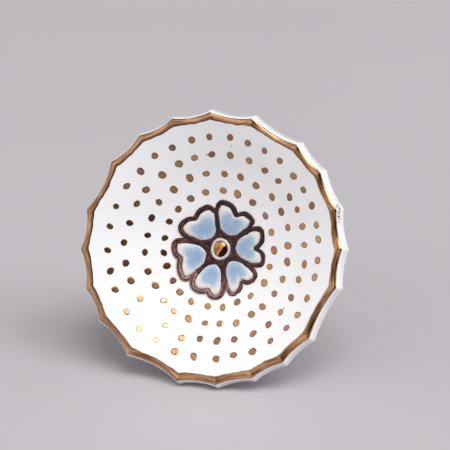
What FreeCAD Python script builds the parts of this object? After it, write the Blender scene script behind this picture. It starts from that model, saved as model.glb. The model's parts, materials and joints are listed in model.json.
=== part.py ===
"""Porcelain rosette knob: a fluted dish with a gilded rim, rings of gilt spots and an enamelled
flower, cemented to a threaded stud that carries a collar, a washer and a nut.

Every piece is drawn about the knob's own axis: its origin is the middle of the dish floor, +Z
points out of the face and +Y up the face. One shared placement then leans the knob back on two
cusps of its rim and the tip of its stud, as it stands on a table. Millimetres.
"""
import FreeCAD, Part
import math
import os

import Sketcher

SIZES = {
    # dish
    "rim_radius": 25.0,
    "hollow_radius": 35.75,
    "wall_start": 16.25,
    "dish_thickness": 2.9,
    "floor_flat": 0.4,
    "blank_radius": 28.0,
    # flutes round the rim
    "flute_roundness": 1.75,
    "flare_per_mm": 0.25,
    "flute_reach": 9.0,
    # neck behind the dish
    "neck_radius": 7.2,
    "neck_base_radius": 8.4,
    "neck_start": 7.0,
    "neck_end": 12.5,
    "underside_turn": 13.0,
    "underside_arc": 9.0,
    "flare_arc": 9.0,
    "socket_radius": 2.9,
    "socket_floor": 3.2,
    # gilding
    "gilt_thickness": 0.1,
    "gilding_inner_radius": 23.0,
    "spot_radius": 0.68,
    "spot_zone": 21.5,
    # enamelled flower
    "petal_thickness": 0.3,
    "line_thickness": 0.42,
    "petal_tip": 2.7,
    "petal_widest": 6.55,
    "petal_half_width": 3.07,
    "petal_notch": 7.07,
    "petal_side_arc": 7.0,
    "petal_lobe_arc": 1.63,
    "line_tip": 0.9,
    "line_widest": 6.95,
    "line_half_width": 3.85,
    "line_notch": 8.1,
    "line_side_arc": 9.0,
    "line_lobe_arc": 2.08,
    "layer_start": 0.5,
    "cutter_height": 6.0,
    "ring_radius": 1.95,
    "ring_height": 0.5,
    "ring_arc": 1.3,
    "bead_radius": 1.2,
    "bead_height": 0.85,
    "bead_flat": 0.15,
    # stud and its fastenings
    "stud_radius": 2.0,
    "stud_start": 4.0,
    "stud_end": 43.5,
    "stud_chamfer": 0.4,
    "notch_start": 36.0,
    "notch_width": 0.8,
    "notch_depth": 0.5,
    "collar_radius": 9.0,
    "collar_wall": 0.45,
    "collar_lip": 1.6,
    "collar_thickness": 1.0,
    "collar_bore": 2.3,
    "collar_chamfer": 0.3,
    "panel_gap": 18.0,
    "washer_radius": 4.5,
    "washer_bore": 2.15,
    "washer_thickness": 0.8,
    "nut_across_flats": 7.0,
    "nut_bore": 2.05,
    "nut_thickness": 3.2,
    "nut_face_radius": 3.15,
    "nut_chamfer_drop": 0.3,
    # how far a cutter reaches past what it cuts
    "cut_margin": 2.0,
}

# Widths of the flutes in degrees, anticlockwise from the one that the knob stands on: in each
# quarter of the rim four narrow flutes and a wide one, shaped by hand and so not quite equal.
FLUTE_WIDTHS = (
    17, 16, 15, 15, 24,
    16, 17, 17, 15, 23,
    19, 17, 16, 17, 23,
    17, 17, 15, 19, 25,
)
BOTTOM = 270

# Each ring of spots: how many, its radius as a share of the rim's, the angle that the first one
# is counted from, and how the hand that set them drifts round: by how much, and from which angle.
SPOT_RINGS = (
    (22, 0.43, 6.0, 5.0, 26),
    (27, 0.56, 24.5, 4.0, 112),
    (31, 0.69, 19.0, 3.5, 181),
    (34, 0.81, 7.0, 6.0, 200),
)
PETAL_ANGLES = (13, 74, 131, 201, 257, 315)

doc = FreeCAD.newDocument("rosette_knob")
sheet = doc.addObject("Spreadsheet::Sheet", "Sizes")


class Size:
    """A length out of the sheet, or worked out from such lengths: its value and its expression."""

    def __init__(self, value, text):
        self.value = value
        self.text = text

    def __add__(self, other):
        other = as_size(other)
        return Size(self.value + other.value, f"({self.text} + {other.text})")

    def __sub__(self, other):
        other = as_size(other)
        return Size(self.value - other.value, f"({self.text} - {other.text})")

    def __mul__(self, other):
        other = as_size(other)
        return Size(self.value * other.value, f"({self.text} * {other.text})")

    def __truediv__(self, other):
        other = as_size(other)
        return Size(self.value / other.value, f"({self.text} / {other.text})")

    def __neg__(self):
        return Size(-self.value, f"(0 - {self.text})")

    def root(self):
        return Size(math.sqrt(self.value), f"sqrt({self.text})")


def as_size(number):
    return number if isinstance(number, Size) else Size(float(number), str(number))


def size(alias):
    return Size(float(sheet.get(alias)), f"Sizes.{alias}")


def fill_sheet():
    for row, (alias, value) in enumerate(SIZES.items(), start=1):
        sheet.set(f"A{row}", alias)
        sheet.set(f"B{row}", str(value))
        sheet.setAlias(f"B{row}", alias)
    doc.recompute()


# Outlines


def arc_between(start, end, radius, side):
    """The short arc of this radius from start to end, bulging to the right of the way if side is
    1 and to the left if it is -1. It runs anticlockwise, as a sketch keeps its arcs."""
    chord = end - start
    left = FreeCAD.Vector(-chord.y, chord.x, 0).normalize()
    inward = math.sqrt(radius**2 - (chord.Length / 2) ** 2)
    centre = (start + end) * 0.5 + left * inward * side
    first, last = (start, end) if side > 0 else (end, start)
    turns = [math.atan2(p.y - centre.y, p.x - centre.x) for p in (first, last)]
    if turns[1] < turns[0]:
        turns[1] += 2 * math.pi
    circle = Part.Circle(centre, FreeCAD.Vector(0, 0, 1), radius)
    return Part.ArcOfCircle(circle, turns[0], turns[1])


def draw_outline(sketch, corners, arcs):
    """Draw a closed outline. Its corners are pairs of Size, and arcs gives, by the number of the
    corner that one starts from, the radius and side of each edge that isn't straight."""
    points = [FreeCAD.Vector(x.value, y.value, 0) for x, y in corners]
    count = len(points)
    for i, start in enumerate(points):
        end = points[(i + 1) % count]
        if i in arcs:
            radius, side = arcs[i]
            sketch.addGeometry(arc_between(start, end, radius.value, side))
        else:
            sketch.addGeometry(Part.LineSegment(start, end))
    ends = [edge_ends(sketch, i, points[i]) for i in range(count)]
    for i in range(count):
        following = (i + 1) % count
        sketch.addConstraint(
            Sketcher.Constraint("Coincident", i, ends[i][1], following, ends[following][0])
        )
    for i, (x, y) in enumerate(corners):
        bind(sketch, Sketcher.Constraint("DistanceX", -1, 1, i, ends[i][0], x.value), x)
        bind(sketch, Sketcher.Constraint("DistanceY", -1, 1, i, ends[i][0], y.value), y)
    for i, (radius, _) in arcs.items():
        bind(sketch, Sketcher.Constraint("Radius", i, radius.value), radius)


def edge_ends(sketch, number, start):
    """Which ends of an edge are its first and last: an arc is stored anticlockwise."""
    at_start = sketch.Geometry[number].StartPoint.distanceToPoint(start) < 1e-6
    return (1, 2) if at_start else (2, 1)


def bind(sketch, constraint, wanted):
    number = sketch.addConstraint(constraint)
    sketch.setExpression(f"Constraints[{number}]", wanted.text)


# Ways of making a solid


def new_body(name):
    return doc.addObject("PartDesign::Body", name)


def origin_plane(body, role):
    return next(f for f in body.Origin.OriginFeatures if f.Role == role)


def body_sketch(body, name, role):
    sketch = body.newObject("Sketcher::SketchObject", name)
    sketch.AttachmentSupport = [(origin_plane(body, role), "")]
    sketch.MapMode = "FlatFace"
    return sketch


def turned_body(name, corners, arcs=None):
    """A solid of revolution: corners are (radius, height) pairs, and the outline closes."""
    body = new_body(name)
    sketch = body_sketch(body, f"{name}_profile", "XZ_Plane")
    draw_outline(sketch, corners, arcs or {})
    turned = body.newObject("PartDesign::Revolution", f"{name}_revolution")
    turned.Profile = sketch
    turned.ReferenceAxis = (sketch, ["V_Axis"])
    turned.Angle = 360
    body.Tip = turned
    return body


def turned_layer(name, corners, arcs):
    """A thin solid of revolution that only shapes other pieces, with corners as in turned_body."""
    sketch = doc.addObject("Sketcher::SketchObject", f"{name}_profile")
    draw_outline(sketch, corners, arcs)
    upright = FreeCAD.Rotation(FreeCAD.Vector(1, 0, 0), 90)
    sketch.Placement = FreeCAD.Placement(FreeCAD.Vector(0, 0, 0), upright)
    turned = doc.addObject("Part::Revolution", name)
    turned.Source = sketch
    turned.Axis = FreeCAD.Vector(0, 0, 1)
    turned.Angle = 360
    turned.Solid = True
    return turned


def upright_prism(name, corners, arcs, angle, height):
    """A prism on an outline drawn about the +X direction and turned to this angle about Z."""
    sketch = doc.addObject("Sketcher::SketchObject", f"{name}_outline")
    draw_outline(sketch, corners, arcs)
    turn = FreeCAD.Rotation(FreeCAD.Vector(0, 0, 1), angle)
    sketch.Placement = FreeCAD.Placement(FreeCAD.Vector(0, 0, -1), turn)
    prism = doc.addObject("Part::Extrusion", name)
    prism.Base = sketch
    prism.DirMode = "Custom"
    prism.Dir = FreeCAD.Vector(0, 0, 1)
    prism.setExpression("LengthFwd", height.text)
    prism.Solid = True
    return prism


def joined(name, pieces):
    fuse = doc.addObject("Part::MultiFuse", name)
    fuse.Shapes = pieces
    return fuse


def shared(name, base, tool):
    common = doc.addObject("Part::Common", name)
    common.Base = base
    common.Tool = tool
    return common


def cut_away(name, base, tool):
    cut = doc.addObject("Part::Cut", name)
    cut.Base = base
    cut.Tool = tool
    return cut


# The dish surface: a shallow bowl whose wall carries on straight and tangent to the rim


def bowl_height(radius):
    """Height of the bowl, an arc of hollow_radius, at this radius."""
    hollow = size("hollow_radius")
    return hollow - (hollow * hollow - radius * radius).root()


def wall_slope():
    hollow = size("hollow_radius")
    start = size("wall_start")
    return start / (hollow * hollow - start * start).root()


def wall_height(radius):
    """Height of the straight wall, tangent to the bowl at wall_start, at this radius."""
    start = size("wall_start")
    return bowl_height(start) + (radius - start) * wall_slope()


def lifted(radius, height, thickness, slope):
    """The point that lies this far above a surface of this slope, square to it."""
    length = (slope * slope + 1).root()
    return radius - thickness * slope / length, height + thickness / length


def layer(name, heights, slopes, radii, thickness, arcs):
    """A layer of even thickness between two radii, on a surface of these heights and slopes."""
    low = (radii[0], heights[0])
    high = (radii[1], heights[1])
    high_top = lifted(*high, thickness, slopes[1])
    low_top = lifted(*low, thickness, slopes[0])
    return turned_layer(name, [low, high, high_top, low_top], arcs)


def bowl_layer(name, thickness):
    """A layer on the bowl, from near its middle out to where its wall starts."""
    hollow = size("hollow_radius")
    radii = (size("layer_start"), size("wall_start"))
    heights = [bowl_height(r) for r in radii]
    slopes = [r / (hollow * hollow - r * r).root() for r in radii]
    arcs = {0: (hollow, 1), 2: (hollow - thickness, -1)}
    return layer(name, heights, slopes, radii, thickness, arcs)


def wall_layer(name, thickness, inner, outer):
    """A layer on the straight wall between two radii."""
    radii = (inner, outer)
    heights = [wall_height(r) for r in radii]
    return layer(name, heights, [wall_slope()] * 2, radii, thickness, {})


# Porcelain


def flute_cutters():
    """One leaning cone for each flute. Neighbours meet on the rim circle, which leaves a cusp."""
    rim = size("rim_radius")
    lip = wall_height(rim)
    reach = size("flute_reach")
    flare = size("flare_per_mm")
    cones = []
    start = BOTTOM - FLUTE_WIDTHS[0] / 2
    for i, width in enumerate(FLUTE_WIDTHS):
        half = math.radians(width / 2)
        half_chord = rim * math.sin(half)
        radius = half_chord * 2 * size("flute_roundness")
        away = rim * math.cos(half) + (radius * radius - half_chord * half_chord).root()
        cone = doc.addObject("Part::Cone", f"flute_cutter_{i + 1}")
        cone.setExpression("Radius1", (radius - flare * reach).text)
        cone.setExpression("Radius2", (radius + flare * size("cut_margin")).text)
        cone.setExpression("Height", (reach + size("cut_margin")).text)
        middle = math.radians(start + width / 2)
        foot = FreeCAD.Vector(
            away.value * math.cos(middle),
            away.value * math.sin(middle),
            (lip - reach).value,
        )
        cone.Placement = FreeCAD.Placement(foot, FreeCAD.Rotation())
        cones.append(cone)
        start += width
    return joined("flute_cutters", cones)


def porcelain_rosette(cutters):
    """The dish with its neck, turned, then fluted round the rim. A blind socket takes the stud."""
    zero = as_size(0)
    blank = size("blank_radius")
    slope = wall_slope()
    wall_foot = size("wall_start")
    thickness = size("dish_thickness")
    turn = size("underside_turn")
    under_start = lifted(wall_foot, wall_height(wall_foot), -thickness, slope)
    under_edge = under_start[1] + (blank - under_start[0]) * slope
    under_turn = under_start[1] + (turn - under_start[0]) * slope
    neck = size("neck_radius")
    base = size("neck_base_radius")
    socket = size("socket_radius")
    flat = size("floor_flat")
    corners = [
        (zero, bowl_height(flat)),
        (flat, bowl_height(flat)),
        (wall_foot, bowl_height(wall_foot)),
        (blank, wall_height(blank)),
        (blank, under_edge),
        (turn, under_turn),
        (neck, -size("neck_start")),
        (base, -size("neck_end")),
        (socket, -size("neck_end")),
        (socket, -size("socket_floor")),
        (zero, -size("socket_floor")),
    ]
    arcs = {
        1: (size("hollow_radius"), 1),
        5: (size("underside_arc"), 1),
        6: (size("flare_arc"), 1),
    }
    blank_body = turned_body("rosette_blank", corners, arcs)
    return cut_away("porcelain_rosette", blank_body, cutters)


# Gilding


def rim_gilding(cutters):
    inner = size("gilding_inner_radius")
    outer = size("blank_radius")
    ring = wall_layer("gilding_blank", size("gilt_thickness"), inner, outer)
    return cut_away("rim_gilding", ring, cutters)


def spot_angles(count, first, drift, drift_start):
    for i in range(count):
        even = first + i * 360 / count
        yield even + drift * math.sin(math.radians(even - drift_start))


def gilt_spots(number, layer):
    """One ring of gilt spots, each a disc cut out of the layer that lies on the dish."""
    count, share, first, drift, drift_start = SPOT_RINGS[number]
    ring_radius = size("rim_radius").value * share
    sketch = doc.addObject("Sketcher::SketchObject", f"spot_circles_{number + 1}")
    for i, angle in enumerate(spot_angles(count, first, drift, drift_start)):
        turn = math.radians(angle)
        centre = FreeCAD.Vector(ring_radius * math.cos(turn), ring_radius * math.sin(turn), 0)
        circle = Part.Circle(centre, FreeCAD.Vector(0, 0, 1), size("spot_radius").value)
        sketch.addGeometry(circle)
        if i:
            sketch.addConstraint(Sketcher.Constraint("Equal", 0, i))
    spot = size("spot_radius")
    bind(sketch, Sketcher.Constraint("Radius", 0, spot.value), spot)
    discs = doc.addObject("Part::Extrusion", f"spot_cutters_{number + 1}")
    discs.Base = sketch
    discs.DirMode = "Custom"
    discs.Dir = FreeCAD.Vector(0, 0, 1)
    discs.setExpression("LengthFwd", (size("cutter_height") * 2).text)
    discs.Solid = True
    return shared(f"gilt_spots_ring_{number + 1}", discs, layer)


def all_gilt_spots():
    gilt = size("gilt_thickness")
    start = size("wall_start")
    inner_layer = bowl_layer("bowl_gilt_layer", gilt)
    outer_layer = wall_layer("wall_gilt_layer", gilt, start, size("spot_zone"))
    rings = []
    for number, ring in enumerate(SPOT_RINGS):
        on_wall = size("rim_radius").value * ring[1] > start.value
        rings.append(gilt_spots(number, outer_layer if on_wall else inner_layer))
    return rings


# Enamelled flower


def heart(name, angle, tip, widest, half_width, notch, side_arc, lobe_arc):
    """A heart with its point towards the axis: two flat arcs up its sides and two lobes."""
    zero = as_size(0)
    corners = [
        (tip, zero),
        (widest, -half_width),
        (notch, zero),
        (widest, half_width),
    ]
    arcs = {0: (side_arc, 1), 1: (lobe_arc, 1), 2: (lobe_arc, 1), 3: (side_arc, 1)}
    return upright_prism(name, corners, arcs, angle, size("cutter_height"))


def petal_heart(name, angle):
    return heart(
        name,
        angle,
        size("petal_tip"),
        size("petal_widest"),
        size("petal_half_width"),
        size("petal_notch"),
        size("petal_side_arc"),
        size("petal_lobe_arc"),
    )


def line_heart(name, angle):
    return heart(
        name,
        angle,
        size("line_tip"),
        size("line_widest"),
        size("line_half_width"),
        size("line_notch"),
        size("line_side_arc"),
        size("line_lobe_arc"),
    )


def petals():
    layer = bowl_layer("petal_layer", size("petal_thickness"))
    pieces = []
    for i, angle in enumerate(PETAL_ANGLES):
        prism = petal_heart(f"petal_prism_{i + 1}", angle)
        pieces.append(shared(f"petal_{i + 1}", prism, layer))
    return pieces


def flower_outline():
    """The raised dark line round every petal: six larger hearts less the petals and the centre."""
    layer = bowl_layer("line_layer", size("line_thickness"))
    outer = [line_heart(f"line_prism_{i + 1}", a) for i, a in enumerate(PETAL_ANGLES)]
    inner = [petal_heart(f"field_cutter_{i + 1}", a) for i, a in enumerate(PETAL_ANGLES)]
    centre = doc.addObject("Part::Cylinder", "centre_cutter")
    centre.setExpression("Radius", size("ring_radius").text)
    centre.setExpression("Height", size("cutter_height").text)
    centre.Placement.Base = FreeCAD.Vector(0, 0, -1)
    whole = shared("line_blank", joined("line_prisms", outer), layer)
    return cut_away("flower_outline", whole, joined("field_cutters", inner + [centre]))


def centre_ring():
    """The white enamel ring round the bead."""
    inner = size("bead_radius")
    outer = size("ring_radius")
    corners = [
        (inner, bowl_height(inner)),
        (outer, bowl_height(outer)),
        (inner, size("ring_height")),
    ]
    arcs = {0: (size("hollow_radius"), 1), 1: (size("ring_arc"), 1)}
    return turned_body("centre_ring", corners, arcs)


def centre_bead():
    """The gilt dome in the middle of the flower."""
    zero = as_size(0)
    edge = size("bead_radius")
    rise = size("bead_height") - bowl_height(edge)
    flat = size("floor_flat")
    top = size("bead_flat")
    dome = ((edge - top) * (edge - top) + rise * rise) / (rise * 2)
    corners = [
        (zero, bowl_height(flat)),
        (flat, bowl_height(flat)),
        (edge, bowl_height(edge)),
        (top, size("bead_height")),
        (zero, size("bead_height")),
    ]
    arcs = {1: (size("hollow_radius"), 1), 2: (dome, 1)}
    return turned_body("centre_bead", corners, arcs)


# Stud and fastenings


def threaded_stud():
    """The stud, drawn at the outer diameter of its thread. It has a chamfer at each end and a
    notch near its tip, where it can be snapped shorter to suit a thin drawer front."""
    zero = as_size(0)
    radius = size("stud_radius")
    chamfer = size("stud_chamfer")
    top = -size("stud_start")
    tip = -size("stud_end")
    notch = -size("notch_start")
    notch_end = notch - size("notch_width")
    waist = radius - size("notch_depth")
    corners = [
        (zero, top),
        (radius - chamfer, top),
        (radius, top - chamfer),
        (radius, notch),
        (waist, notch),
        (waist, notch_end),
        (radius, notch_end),
        (radius, tip + chamfer),
        (radius - chamfer, tip),
        (zero, tip),
    ]
    return turned_body("threaded_stud", corners)


def stud_cement():
    """The cement that fills the socket above and around the stud."""
    zero = as_size(0)
    stud = size("stud_radius")
    socket = size("socket_radius")
    chamfer = size("stud_chamfer")
    top = -size("stud_start")
    corners = [
        (zero, -size("socket_floor")),
        (socket, -size("socket_floor")),
        (socket, -size("neck_end")),
        (stud, -size("neck_end")),
        (stud, top - chamfer),
        (stud - chamfer, top),
        (zero, top),
    ]
    return turned_body("stud_cement", corners)


def base_collar():
    """A turned brass cup under the neck: its flat back is what meets a drawer front."""
    outer = size("collar_radius")
    inner = outer - size("collar_wall")
    bore = size("collar_bore")
    seat = -size("neck_end")
    back = seat - size("collar_thickness")
    chamfer = size("collar_chamfer")
    corners = [
        (bore, back),
        (outer - chamfer, back),
        (outer, back + chamfer),
        (outer, seat + size("collar_lip")),
        (inner, seat + size("collar_lip")),
        (inner, seat),
        (bore, seat),
    ]
    return turned_body("base_collar", corners)


def washer_top():
    return -(size("neck_end") + size("collar_thickness") + size("panel_gap"))


def flat_washer():
    top = washer_top()
    bottom = top - size("washer_thickness")
    bore = size("washer_bore")
    outer = size("washer_radius")
    corners = [(bore, bottom), (outer, bottom), (outer, top), (bore, top)]
    return turned_body("flat_washer", corners)


def hex_nut():
    """A hexagonal nut, padded, bored, and its corners turned off at both ends."""
    body = new_body("hex_nut")
    top = washer_top() - size("washer_thickness")
    bottom = top - size("nut_thickness")
    corner = size("nut_across_flats") / math.sqrt(3)
    sketch = body_sketch(body, "hexagon", "XY_Plane")
    corners = [
        (corner * round(math.cos(math.radians(a)), 12), corner * round(math.sin(math.radians(a)), 12))
        for a in range(0, 360, 60)
    ]
    draw_outline(sketch, corners, {})
    sketch.setExpression("AttachmentOffset.Base.z", bottom.text)
    pad = body.newObject("PartDesign::Pad", "nut_blank")
    pad.Profile = sketch
    pad.setExpression("Length", size("nut_thickness").text)
    doc.recompute()

    bore_sketch = body_sketch(body, "bore_profile", "XZ_Plane")
    zero = as_size(0)
    bore = size("nut_bore")
    past = size("cut_margin")
    bore_corners = [
        (zero, bottom - past),
        (bore, bottom - past),
        (bore, top + past),
        (zero, top + past),
    ]
    draw_outline(bore_sketch, bore_corners, {})
    groove_body(body, "nut_bore_cut", bore_sketch)

    for name, end, way in (("top", top, 1), ("bottom", bottom, -1)):
        edge_sketch = body_sketch(body, f"{name}_corner_profile", "XZ_Plane")
        outside = corner + size("cut_margin")
        drop = size("nut_chamfer_drop") * way
        edge = size("nut_face_radius")
        rise = (outside - edge) * size("nut_chamfer_drop") / (corner - edge) * way
        corner_outline = [(edge, end), (outside, end - rise), (outside, end + drop), (edge, end + drop)]
        draw_outline(edge_sketch, corner_outline, {})
        groove_body(body, f"{name}_corners_cut", edge_sketch)
    return body


def groove_body(body, name, sketch):
    """Turn this profile out of the body, and make sure that it took something away."""
    before = body.Shape.Volume
    groove = body.newObject("PartDesign::Groove", name)
    groove.Profile = sketch
    groove.ReferenceAxis = (sketch, ["V_Axis"])
    groove.Angle = 360
    body.Tip = groove
    doc.recompute()
    if body.Shape.Volume > before - 1e-3:
        raise RuntimeError(f"{name} cut nothing")


# How the knob stands


def lowest(points, lean):
    """The least height of these points, given as (y, z), when the face leans back this far."""
    return min(y * math.cos(lean) + z * math.sin(lean) for y, z in points)


def resting_placement(pieces):
    """Lean the knob back until its rim and the tip of its stud stand on one level, and put the
    origin under the middle of what it then covers."""
    rosette = next(p for p in pieces if p.Label == "porcelain_rosette")
    rim = [(v.Point.y, v.Point.z) for v in rosette.Shape.Vertexes]
    tip_radius = (size("stud_radius") - size("stud_chamfer")).value
    stud_tip = [
        (-tip_radius, -size("stud_end").value),
        (-size("stud_radius").value, (size("stud_chamfer") - size("stud_end")).value),
    ]
    low, high = math.radians(5), math.radians(60)
    while high - low > 1e-9:
        lean = (low + high) / 2
        if lowest(stud_tip, lean) > lowest(rim, lean):
            low = lean
        else:
            high = lean
    upright = FreeCAD.Rotation(FreeCAD.Vector(1, 0, 0), 90 - math.degrees(lean))
    turned = FreeCAD.Placement(FreeCAD.Vector(0, 0, 0), upright)
    boxes = []
    for piece in pieces:
        shape = piece.Shape.copy()
        shape.Placement = turned.multiply(piece.Shape.Placement)
        boxes.append(shape.optimalBoundingBox(False, False))
    middle_x = (min(b.XMin for b in boxes) + max(b.XMax for b in boxes)) / 2
    middle_y = (min(b.YMin for b in boxes) + max(b.YMax for b in boxes)) / 2
    floor = min(b.ZMin for b in boxes)
    return FreeCAD.Placement(FreeCAD.Vector(-middle_x, -middle_y, -floor), upright)


def check_document(pieces):
    for item in doc.Objects:
        if {"Invalid", "Error"} & set(item.State):
            raise RuntimeError(f"{item.Label} failed: {item.getStatusString()}")
    for piece in pieces:
        if piece.Shape.isNull() or not piece.Shape.isValid() or not piece.Shape.Solids:
            raise RuntimeError(f"{piece.Label} is not a valid solid")


def write_parts(pieces):
    os.makedirs("parts", exist_ok=True)
    for piece in pieces:
        piece.Shape.exportStep(os.path.join("parts", f"{piece.Label}.step"))


def main():
    fill_sheet()
    cutters = flute_cutters()
    pieces = [porcelain_rosette(cutters), rim_gilding(cutters)]
    pieces += all_gilt_spots()
    pieces += [flower_outline()] + petals()
    pieces += [centre_ring(), centre_bead()]
    pieces += [stud_cement(), threaded_stud(), base_collar(), flat_washer(), hex_nut()]
    doc.recompute()
    check_document(pieces)
    placement = resting_placement(pieces)
    for piece in pieces:
        piece.Placement = placement
    doc.recompute()
    check_document(pieces)
    write_parts(pieces)
    print("origin of the knob's axis", placement.Base, "turned", math.degrees(placement.Rotation.Angle))
    for piece in pieces:
        print(piece.Label, len(piece.Shape.Solids), round(piece.Shape.Volume, 3))


main()
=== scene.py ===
"""Looks of the porcelain rosette knob: glazed porcelain, hand-laid gilding, an enamelled flower and
the turned and threaded metal behind it.

Pieces are drawn about the knob's own axis in millimetres, as the design is: +Z out of the face, +Y up
the face, origin in the middle of the dish floor. place() carries such a point to the frame.
"""
import json
import math
import random

import bpy
from mathutils import Matrix, Vector, noise


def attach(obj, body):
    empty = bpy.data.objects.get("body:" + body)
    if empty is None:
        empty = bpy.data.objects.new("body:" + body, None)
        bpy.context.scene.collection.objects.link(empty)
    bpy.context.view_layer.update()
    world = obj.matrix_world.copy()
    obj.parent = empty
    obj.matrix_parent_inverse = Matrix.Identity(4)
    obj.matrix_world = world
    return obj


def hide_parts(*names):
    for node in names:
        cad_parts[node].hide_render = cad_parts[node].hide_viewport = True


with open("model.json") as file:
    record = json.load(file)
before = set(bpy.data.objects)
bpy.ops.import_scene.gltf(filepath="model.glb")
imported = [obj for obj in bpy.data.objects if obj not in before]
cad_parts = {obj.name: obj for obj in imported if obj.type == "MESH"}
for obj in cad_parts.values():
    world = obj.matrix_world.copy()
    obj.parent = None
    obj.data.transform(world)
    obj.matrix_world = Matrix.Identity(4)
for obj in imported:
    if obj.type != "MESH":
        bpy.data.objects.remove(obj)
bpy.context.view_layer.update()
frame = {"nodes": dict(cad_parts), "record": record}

MM = 0.001

# The knob's own frame, from the mount at the end of its stud
MOUNTS = {m["name"]: m for m in frame["record"]["mounts"]}
STUD_MOUNT_DEPTH = 40.0
FACE = -Vector(MOUNTS["stud_end"]["axis"]).normalized()
RIGHT = Vector((1, 0, 0))
UP = FACE.cross(RIGHT)
MIDDLE = Vector(MOUNTS["stud_end"]["pos_m"]) + FACE * STUD_MOUNT_DEPTH * MM

# Dish
RIM_RADIUS = 25.0
HOLLOW_RADIUS = 35.75
WALL_START = 16.25
THICKNESS = 2.9
FLARE = 0.25
FLUTE_ROUNDNESS = 1.75
# Degrees that each flute takes up, from the bottom one on, anticlockwise as the face is looked at
FLUTE_WIDTHS = (
    17, 16, 15, 15, 24,
    16, 17, 17, 15, 23,
    19, 17, 16, 17, 23,
    17, 17, 15, 19, 25,
)
BOTTOM_ANGLE = 270
NECK_RADIUS = 7.2
NECK_BASE_RADIUS = 8.4
NECK_START = 7.0
NECK_END = 12.5
UNDERSIDE_TURN = 13.0
SOCKET_RADIUS = 2.95
SOCKET_FLOOR = 3.2

# Each ring of spots: how many, its radius as a share of the rim's, the angle of its first spot, and how
# far the spacing drifts and from which angle, all in degrees
SPOT_RINGS = (
    (22, 0.43, 6.0, 5.0, 26),
    (27, 0.56, 24.5, 4.0, 112),
    (31, 0.69, 19.0, 3.5, 181),
    (34, 0.81, 7.0, 6.0, 200),
)
SPOT_RADIUS = 0.71

# Stud and fastenings
STUD_RADIUS = 2.0
STUD_END = 43.5
STUD_TIP_RADIUS = 1.5
STUD_SUNK = 0.5
ROWS_TO_THREAD = 9
THREAD_PITCH = 0.7
THREAD_DEPTH = 0.4
NOTCH_START = 36.0
NOTCH_END = 36.8
NOTCH_RADIUS = 1.5
COLLAR_RADIUS = 9.0
COLLAR_CUP_RADIUS = 8.55
COLLAR_CUP_DEPTH = 1.6
COLLAR_BORE = 2.3
COLLAR_THICKNESS = 1.0
COLLAR_BACK = -(NECK_END + COLLAR_THICKNESS)
PANEL_GAP = 18.0
WASHER_RADIUS = 4.5
WASHER_BORE = 2.15
WASHER_THICKNESS = 0.8
NUT_FLAT_RADIUS = 3.5
NUT_FACE_RADIUS = 3.3
NUT_CHAMFER_RADIUS = 3.42
NUT_CHAMFER_SLOPE = 0.577
NUT_BORE = 2.05
NUT_BORE_MOUTH = 2.4
NUT_BORE_CHAMFER = 0.3
NUT_HEIGHT = 3.2

# Points round the dish
COLUMNS = 720


def way(radius, turn):
    """x and y at this radius, turned this many radians from +X."""
    return radius * math.cos(turn), radius * math.sin(turn)


def place(x, y, z):
    """A point of the knob, carried to the frame."""
    return MIDDLE + (RIGHT * x + UP * y + FACE * z) * MM


def polar(radius, degrees, z):
    """The same from a radius and an angle about the knob's axis."""
    return place(*way(radius, math.radians(degrees)), z)


def wave(x, y, z, scale, seed=0.0):
    """Smooth noise between about -1 and 1, its lumps about this many millimetres across."""
    return noise.noise(Vector((x / scale + seed, y / scale - seed, z / scale + 2 * seed)))


def blend_step(low, high, value):
    """Eases from 0 at the low value to 1 at the high one, or the other way if low is the larger."""
    t = min(max((value - low) / (high - low), 0.0), 1.0)
    return t * t * (3 - 2 * t)


# Shape of the dish


def dish_height(radius):
    """Height of the dish's inner skin: a round bowl and then a straight wall."""
    bowl = min(radius, WALL_START)
    return HOLLOW_RADIUS - math.sqrt(HOLLOW_RADIUS**2 - bowl**2) + (radius - bowl) * WALL_SLOPE


def dish_slope(radius):
    bowl = min(radius, WALL_START)
    return bowl / math.sqrt(HOLLOW_RADIUS**2 - bowl**2)


WALL_SLOPE = dish_slope(WALL_START)
WALL_ANGLE = math.atan(WALL_SLOPE)


def make_flutes():
    """Each flute as the middle angle, distance and radius of the circle that hollows it."""
    flutes = []
    start = BOTTOM_ANGLE - FLUTE_WIDTHS[0] / 2
    for width in FLUTE_WIDTHS:
        half = math.radians(width / 2)
        half_chord = RIM_RADIUS * math.sin(half)
        radius = 2 * half_chord * FLUTE_ROUNDNESS
        away = RIM_RADIUS * math.cos(half) + math.sqrt(radius**2 - half_chord**2)
        flutes.append((start + width / 2, away, radius))
        start += width
    return flutes


FLUTES = make_flutes()
# How far the wet glaze rounds the cusps, and the half angle in radians past which a flute is not felt
CUSP_SOFTNESS = 0.045
FLUTE_REACH = 0.5


def fluted_radius(degrees, drop):
    """Radius of the fluted wall at this angle, so far below the level of the cusps' crest."""
    total = 0.0
    for middle, away, radius in FLUTES:
        turn = math.radians((degrees - middle + 180) % 360 - 180)
        if abs(turn) > FLUTE_REACH:
            continue
        hollow = radius - FLARE * drop
        reach = away * math.sin(turn)
        if abs(reach) < hollow:
            near = away * math.cos(turn) - math.sqrt(hollow**2 - reach**2)
            total += math.exp(-(near - RIM_RADIUS) / CUSP_SOFTNESS)
    return RIM_RADIUS - CUSP_SOFTNESS * math.log(total)


LIP_TROUGH = 24.1
LIP_WIDTH = 1.15
LIP_CUSP_EXTRA = 0.45
LIP_OUTER_RUN = 0.80
LIP_CREST_ROUNDING = 0.66
LIP_CREASE_ROUNDING = 0.16
RIM_WOBBLE = 0.05
WALL_PROBE = 2.0


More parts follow.
